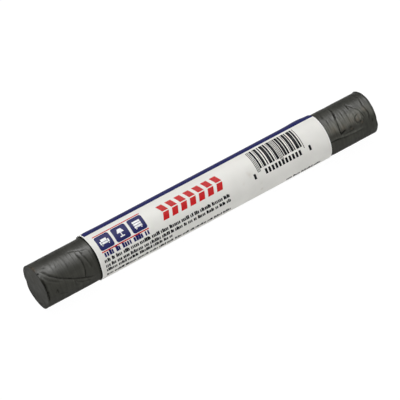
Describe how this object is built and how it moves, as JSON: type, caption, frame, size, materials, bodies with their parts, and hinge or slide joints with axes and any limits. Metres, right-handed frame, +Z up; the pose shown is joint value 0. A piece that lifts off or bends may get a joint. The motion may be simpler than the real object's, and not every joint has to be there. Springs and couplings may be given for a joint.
{
  "type": "furniture repair wax stick",
  "caption": "Round stick of dark filling wax in a loose lapped paper label sleeve; the wax slides through the sleeve as it is used up.",
  "frame": {"origin": "on the surface that the stick lies on, under the middle of the wax", "axes": "+X along the stick from its near end to its far end, +Y to the back, +Z up"},
  "size_m": [0.1016, 0.0126, 0.0125],
  "materials": {
    "wax": "dull waxy",
    "label_paper": "coated semi-gloss",
    "glue": "dried clear glue"
  },
  "bodies": {
    "sleeve": {"label_wrap": "label_paper", "seam_adhesive": "glue"},
    "wax": {"wax_stick": "wax"}
  },
  "joints": [
    {"name": "wax_slide", "type": "slide", "parent": "sleeve", "child": "wax", "axis": [-1, 0, 0], "range_m": [-0.0156, 0.015]}
  ]
}
